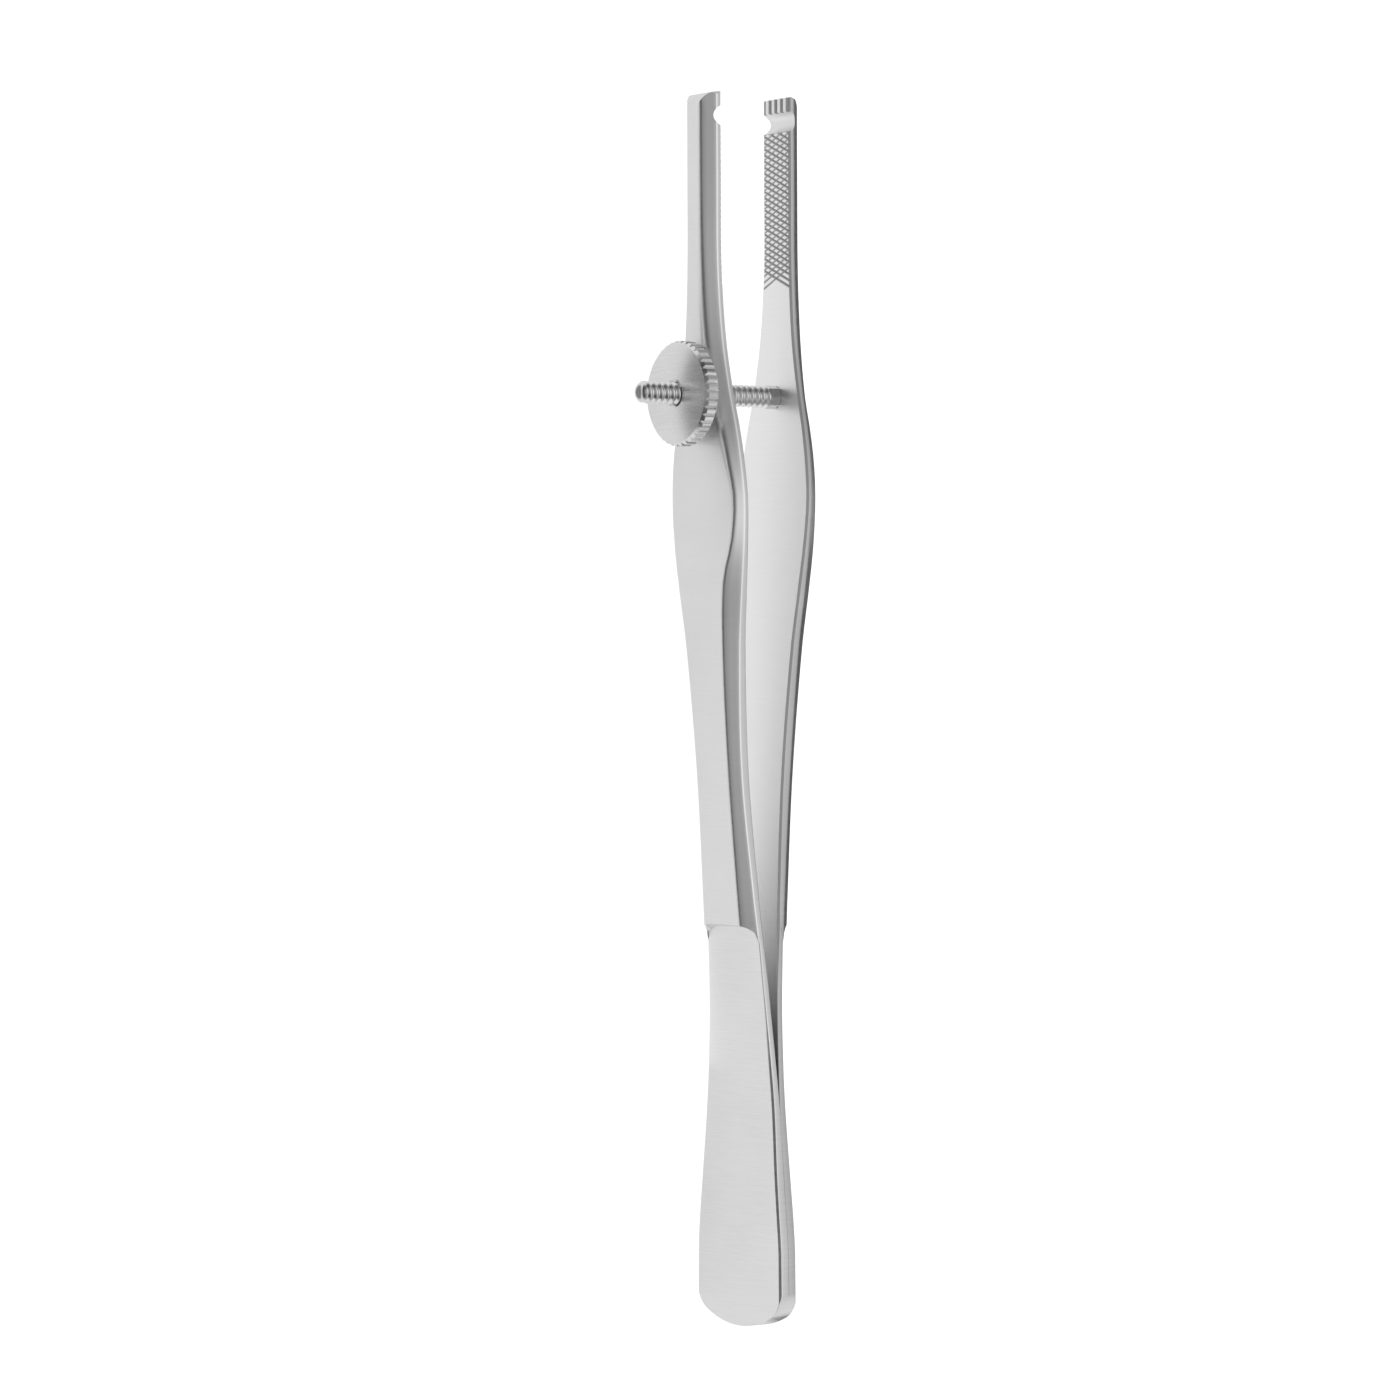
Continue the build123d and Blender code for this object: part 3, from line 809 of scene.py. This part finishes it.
def steel(name, colours, roughness, brushed, depth, ground_to=None):
    """Brushed steel. Brushed is the scratches' length in millimetres along x, y and z. Beyond
    ground_to, in millimetres along the clamp, their light and dark is only half as strong."""
    made = bpy.data.materials.new(name)
    made.use_nodes = True
    tree = made.node_tree
    shader = tree.nodes["Principled BSDF"]
    shader.inputs["Metallic"].default_value = 1.0
    where = add(tree, "ShaderNodeTexCoord").outputs["Object"]
    stretched = add(tree, "ShaderNodeMapping", inputs={
        "Vector": where, "Scale": [1 / (size * MM) for size in brushed]})
    lines = add(tree, "ShaderNodeTexNoise", inputs={
        "Vector": stretched.outputs["Vector"], "Scale": 1.0, "Detail": 4.0, "Roughness": 0.65})
    fine = add(tree, "ShaderNodeMapRange", inputs={
        "Value": lines.outputs["Fac"], "From Min": 0.3, "From Max": 0.7,
        "To Min": -0.5, "To Max": 0.5})
    fine = fine.outputs["Result"]
    if ground_to is not None:
        along = add(tree, "ShaderNodeSeparateXYZ", inputs={"Vector": where})
        ground = place(ground_to, 0, 0).x
        strength = add(tree, "ShaderNodeMapRange", inputs={
            "Value": along.outputs["X"], "From Min": ground, "From Max": ground + FADES_OVER * MM,
            "To Min": 1.0, "To Max": 0.5})
        fine = add(tree, "ShaderNodeMath", {"operation": "MULTIPLY"},
                   {0: fine, 1: strength.outputs["Result"]}).outputs["Value"]
    patches = add(tree, "ShaderNodeTexNoise", inputs={
        "Vector": where, "Scale": 1 / (PATCH * MM), "Detail": 2.0})
    both = add(tree, "ShaderNodeMath", {"operation": "MULTIPLY_ADD"},
               {0: fine, 1: 0.7, 2: patches.outputs["Fac"]})
    tint = add(tree, "ShaderNodeMix", {"data_type": "RGBA"},
               {0: both.outputs["Value"], 6: linear(colours[0]), 7: linear(colours[1])})
    blur = add(tree, "ShaderNodeMapRange", inputs={
        "Value": both.outputs["Value"], "To Min": roughness[0], "To Max": roughness[1]})
    scratch = add(tree, "ShaderNodeBump", inputs={
        "Height": lines.outputs["Fac"], "Strength": SCRATCH, "Distance": depth * MM})
    tree.links.new(tint.outputs[2], shader.inputs["Base Color"])
    tree.links.new(blur.outputs["Result"], shader.inputs["Roughness"])
    tree.links.new(scratch.outputs["Normal"], shader.inputs["Normal"])
    return made


print("patches of", PATCH, "mm, scratches that fade over", FADES_OVER, "mm past the step")

# %% [markdown]
# ## Four finishes of one steel
# The arms are satin, brushed across their length, and most strongly on the ground leaves up to the
# step. The screw and washer are turned on a lathe, so their fine rings run round the axis and they
# are the brightest. The nut's face is brushed like the arms but more finely, which leaves it almost
# a soft mirror. The jaw's grooves are more matt, and their darker colour is painted shade in them.

# %% Make the steels
satin = steel("satin_brushed_stainless_steel", ("#E6E6E6", "#F1F1F1"), (0.3, 0.42),
              (0.12, 2.0, 4.0), 0.003, STEP)
turned_steel = steel("turned_stainless_steel", ("#DDDDDD", "#EEEEEE"), (0.2, 0.3),
                     (0.5, 0.1, 0.5), 0.002)
nut_steel = steel("face_brushed_stainless_steel", ("#E1E1E1", "#EFEFEF"), (0.22, 0.3),
                  (0.15, 2.0, 4.0), 0.0008)
# The grooves' steel is darker than the arms': painted shade in the grooves, with a rougher, more
# matt finish.
shaded_groove_steel = steel("stainless_steel_with_painted_groove_shade", ("#BCBCBC", "#CCCCCC"), (0.38, 0.48),
                  (0.3, 0.3, 0.3), 0.003)
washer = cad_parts["seat_washer"]
for piece, metal in ((bar, satin), (back, satin), (screw, turned_steel), (nut, nut_steel)):
    piece.data.materials.append(metal)
washer.material_slots[0].material = turned_steel
print("materials:", [m.name for m in (satin, turned_steel, nut_steel, shaded_groove_steel)])

# %% [markdown]
# ## Grooves with painted shade
# The faces of the jaw's fine grooves are found by their place on the jaw and their slope, and get a
# second material. It is more matt, and its darker colour is painted shade in the grooves, while the
# flats between them shine. The half-round groove is left out, and keeps the arms' steel.

# %% Give the cut faces their own steel
CUT_FROM, CUT_ABOVE, TOOTH_SIDE, SLOPING = 101, 0.06, 1.95, 0.3
DEEPEST = JAW_GAP + TOOTH_DEPTH + 0.02


def is_cut(polygon):
    """A sloping face of a jaw groove, which gets the darker steel with painted shade, but not the
    half-round one.
    """
    along = (polygon.center.x - tail_x) / MM
    out = abs(polygon.center.y - middle_y) / MM
    if not (CUT_FROM < along < LENGTH and JAW_GAP - CUT_ABOVE < out < DEEPEST):
        return False
    if math.dist((along, out), (groove_along, JAW_GAP - GROOVE_LIFT)) < GROOVE_RADIUS + 0.02:
        return False
    if along > groove_along:
        across = abs(polygon.center.z - width_z)
        return abs(polygon.normal.z) > SLOPING and across < TOOTH_SIDE * MM
    return abs(polygon.normal.x) > SLOPING


for arm in (bar, back):
    arm.data.materials.append(shaded_groove_steel)
    # These groove faces get the darker steel, which paints the shade in the grooves.
    rough = [polygon for polygon in arm.data.polygons if is_cut(polygon)]
    for polygon in rough:
        polygon.material_index = 1
    print(arm.name, "has", len(rough), "cut faces")

# %% [markdown]
# ## A white table
# The picture is high-key: a white table fills the frame, and the clamp lies on it on its side
# edges. The table is plain matt white paper. Light Path lets the camera, and the rays that steel
# mirrors or glass lets through, see it as clean white, while part of it still answers to the
# light, so a faint shadow stays.

# %% Lay the table
TABLE_HALF, SHOWN, MIRRORED = 2, 0.92, 0.62


def plane(name, low, high, height):
    """A level sheet between two corners given in metres."""
    bpy.ops.object.select_all(action="DESELECT")
    middle = ((low[0] + high[0]) / 2, (low[1] + high[1]) / 2, height)
    bpy.ops.mesh.primitive_plane_add(size=1, location=middle)
    made = new_piece(name)
    bpy.ops.transform.resize(value=(high[0] - low[0], high[1] - low[1], 1))
    bpy.ops.object.transform_apply(location=True, rotation=True, scale=True)
    return made


def stage_material(name):
    """An empty material for the stage."""
    made = bpy.data.materials.new(name)
    made.use_nodes = True
    made.node_tree.nodes.clear()
    return made


floor = plane("white_table", (-TABLE_HALF, -TABLE_HALF), (TABLE_HALF, TABLE_HALF), cad_box[0][2])
paper = stage_material("matt_white_table_paper")
tree = paper.node_tree
rays = add(tree, "ShaderNodeLightPath").outputs
mirrored = add(tree, "ShaderNodeMath", {"operation": "MAXIMUM"},
               {0: rays["Is Glossy Ray"], 1: rays["Is Transmission Ray"]}).outputs["Value"]
shown = add(tree, "ShaderNodeMath", {"operation": "MULTIPLY"},
            {0: rays["Is Camera Ray"], 1: SHOWN})
power = add(tree, "ShaderNodeMath", {"operation": "MULTIPLY_ADD"},
            {0: mirrored, 1: MIRRORED, 2: shown.outputs["Value"]})
seen = add(tree, "ShaderNodeMath", {"operation": "MAXIMUM"},
           {0: rays["Is Camera Ray"], 1: mirrored})
colour = add(tree, "ShaderNodeMix", {"data_type": "RGBA"},
             {0: seen.outputs["Value"], 6: linear("#EFEFEF"), 7: linear("#B4B4B4")})
matt = add(tree, "ShaderNodeBsdfDiffuse", inputs={"Color": colour.outputs[2]})
glow = add(tree, "ShaderNodeEmission", inputs={"Strength": power.outputs["Value"]})
white = add(tree, "ShaderNodeAddShader",
            inputs={0: matt.outputs["BSDF"], 1: glow.outputs["Emission"]})
add(tree, "ShaderNodeOutputMaterial", inputs={"Surface": white.outputs["Shader"]})
floor.data.materials.append(paper)
print("table at", round(cad_box[0][2] / MM, 3), "mm")

# %% [markdown]
# ## Cards that only the steel sees
# Steel shows its form by what it mirrors, so a photographer lays cards round it. A grey card behind
# the clamp draws the dark line down the far edges, and a small grey disc in front of the nut
# darkens one side of its domed face. A light card under the gap keeps the inner faces of the arms
# light. Each is a sheet of one plain tone that lies just above the table, and only mirrored rays
# see it.

# %% Lay the cards
sheet_height = cad_box[0][2] + 0.2 * MM
DISC_RADIUS, DISC_Y, GAP_HALF = 0.0115, 0.0228, 3.5 * MM
bpy.ops.object.select_all(action="DESELECT")
bpy.ops.mesh.primitive_circle_add(vertices=48, radius=DISC_RADIUS, fill_type="NGON",
                                  location=(screw_x, DISC_Y, sheet_height))
spot = new_piece("grey_disc")
bpy.ops.object.transform_apply(location=True, rotation=True, scale=True)
card = plane("grey_card", (-0.08, -0.16), (0.075, -0.0135), sheet_height)
fill = plane("fill_card", (-0.035, middle_y - GAP_HALF), (0.056, middle_y + GAP_HALF), sheet_height)
for sheet, strength in ((card, 0.05), (spot, 0.25), (fill, 0.95)):
    board = stage_material(sheet.name + "_board")
    tone = add(board.node_tree, "ShaderNodeEmission", inputs={"Strength": strength})
    add(board.node_tree, "ShaderNodeOutputMaterial", inputs={"Surface": tone.outputs["Emission"]})
    sheet.data.materials.append(board)
    sheet.visible_camera = sheet.visible_diffuse = sheet.visible_shadow = False
print("cards:", [sheet.name for sheet in (card, spot, fill)])

# %% [markdown]
# ## The light of the room
# The room is the only lamp. It is dim near the horizon and bright overhead, like a room with one
# large soft lamp in the ceiling, and the dim part is what gives bright steel its darker tones. Two
# soft lamps stand past the clamp's ends, the room behind the clamp is a little lighter, and one
# more soft lamp stands low past the tail and brightens the flanks of the nut's notches. Where the
# camera, or a ray through glass, would look past the table, the room is plain white.

# %% Tones of the room
ROOM_TONES = ((0.5, 0.03), (0.7, 0.04), (0.76, 0.14), (0.815, 0.39), (0.9, 0.47))
BELOW, OVERHEAD, END_LAMPS, BEHIND, TAIL_LAMP = 1.0, 1.2, 0.45, 0.25, 0.8
studio = bpy.data.worlds.new("studio")
bpy.context.scene.world = studio
studio.use_nodes = True
tree = studio.node_tree
tree.nodes.clear()
where = add(tree, "ShaderNodeTexCoord")
split = add(tree, "ShaderNodeSeparateXYZ", inputs={"Vector": where.outputs["Generated"]})
height = add(tree, "ShaderNodeMapRange", inputs={"Value": split.outputs["Z"], "From Min": -1.0})
tones = add(tree, "ShaderNodeValToRGB", inputs={"Fac": height.outputs["Result"]})
ramp = tones.color_ramp
ramp.elements[0].position, ramp.elements[0].color = 0.49, (BELOW, BELOW, BELOW, 1)
ramp.elements[1].position, ramp.elements[1].color = 1.0, (OVERHEAD, OVERHEAD, OVERHEAD, 1)
for position, tone in ROOM_TONES:
    ramp.elements.new(position).color = (tone, tone, tone, 1)
print("tones up the room:", [(round(e.position, 2), round(e.color[0], 2)) for e in ramp.elements])

# %% Lamps past the ends, behind and past the tail
ends = add(tree, "ShaderNodeMath", {"operation": "ABSOLUTE"}, {0: split.outputs["X"]})
ends = add(tree, "ShaderNodeMapRange", {"interpolation_type": "SMOOTHSTEP"},
           {"Value": ends.outputs["Value"], "From Min": 0.75, "From Max": 0.95})
lit = add(tree, "ShaderNodeMix", {"data_type": "RGBA"},
          {0: ends.outputs["Result"], 6: tones.outputs["Color"],
           7: (END_LAMPS, END_LAMPS, END_LAMPS, 1)})
behind = add(tree, "ShaderNodeMapRange", inputs={
    "Value": split.outputs["Y"], "From Min": -0.2, "From Max": -0.8, "To Max": BEHIND})
lit = add(tree, "ShaderNodeMix", {"data_type": "RGBA", "blend_type": "LIGHTEN"},
          {0: 1.0, 6: lit.outputs[2], 7: behind.outputs["Result"]})
towards_lamp = Vector((-0.7, -0.59, 0.39)).normalized()
facing = add(tree, "ShaderNodeVectorMath", {"operation": "DOT_PRODUCT"},
             {0: where.outputs["Generated"], 1: towards_lamp})
lamp = add(tree, "ShaderNodeMapRange", {"interpolation_type": "SMOOTHSTEP"},
           {"Value": facing.outputs["Value"], "From Min": 0.78, "From Max": 0.95,
            "To Max": TAIL_LAMP})
lit = add(tree, "ShaderNodeMix", {"data_type": "RGBA", "blend_type": "LIGHTEN"},
          {0: 1.0, 6: lit.outputs[2], 7: lamp.outputs["Result"]})
rays = add(tree, "ShaderNodeLightPath").outputs
direct = add(tree, "ShaderNodeMath", {"operation": "MAXIMUM"},
             {0: rays["Is Camera Ray"], 1: rays["Is Transmission Ray"]})
sky = add(tree, "ShaderNodeMix", {"data_type": "RGBA"},
          {0: direct.outputs["Value"], 6: lit.outputs[2], 7: (1, 1, 1, 1)})
light = add(tree, "ShaderNodeBackground", inputs={"Color": sky.outputs[2], "Strength": 1.0})
add(tree, "ShaderNodeOutputWorld", inputs={"Surface": light.outputs["Background"]})
bpy.context.scene.view_settings.view_transform = "Standard"
bpy.context.scene.cycles.glossy_bounces = 12
print("room:", len(tree.nodes), "nodes")

# %% [markdown]
# ## The camera
# The photograph looks down at the clamp from its nut side, at 54 degrees above the table, with the
# clamp upright in the frame. So the camera's up is the clamp's length, and its right is across and
# down. A long lens half a metre away gives the same slight perspective. A small roll and two small
# shifts of its aim, in millimetres, bring the outlines together.

# %% Place the camera
ROLL, DISTANCE = -0.0037, 0.48
towards_camera = Vector((0, 0.588, 0.809)).normalized()
clamp_up = Vector((1, 0, 0))
clamp_right = clamp_up.cross(towards_camera)
image_right = clamp_right * math.cos(ROLL) + clamp_up * math.sin(ROLL)
image_up = clamp_up * math.cos(ROLL) - clamp_right * math.sin(ROLL)
aim = Vector((0.0009, middle_y + 0.00338, width_z - 0.00246))
aim += image_right * -0.168 * MM + image_up * 0.142 * MM
lens = bpy.data.cameras.new("photo_camera")
lens.sensor_width = 36
lens.lens = 126.36
camera = bpy.data.objects.new("photo_camera", lens)
bpy.context.collection.objects.link(camera)
turn = Matrix((image_right, image_up, towards_camera)).transposed().to_4x4()
camera.matrix_world = Matrix.Translation(aim + towards_camera * DISTANCE) @ turn
bpy.context.scene.camera = camera
print("camera at", [round(v, 3) for v in camera.matrix_world.translation])
